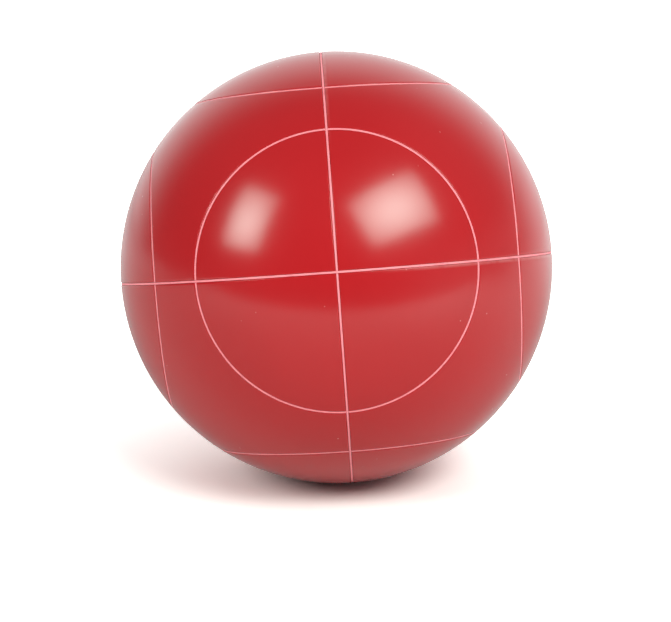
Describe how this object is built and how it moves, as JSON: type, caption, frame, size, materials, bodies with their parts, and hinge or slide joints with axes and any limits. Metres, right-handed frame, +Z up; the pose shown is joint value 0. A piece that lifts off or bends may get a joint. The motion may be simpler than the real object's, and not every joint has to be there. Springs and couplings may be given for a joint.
{
  "type": "bocce ball",
  "caption": "Solid moulded-resin ball for rolling at a target on grass or a court, scored with a paint-filled pattern of great circles and rings.",
  "frame": {"origin": "centre of the ball", "axes": "+Z up, away from the ground; -Y towards the ringed pole that faces the viewer; +X to that viewer's right. The score pattern is turned in this frame, the way the ball lies"},
  "size_m": [0.1068, 0.1068, 0.1068],
  "materials": {
    "red_resin": "polished",
    "core_resin": "as cast",
    "line_paint": "satin"
  },
  "bodies": {
    "root": {"core": "core_resin", "upper_half_shell": "red_resin", "lower_half_shell": "red_resin", "equator_line": "line_paint", "front_to_back_line": "line_paint", "side_to_side_line": "line_paint", "top_ring_line": "line_paint", "bottom_ring_line": "line_paint", "right_ring_line": "line_paint", "left_ring_line": "line_paint", "back_ring_line": "line_paint", "front_ring_line": "line_paint"}
  },
  "joints": []
}
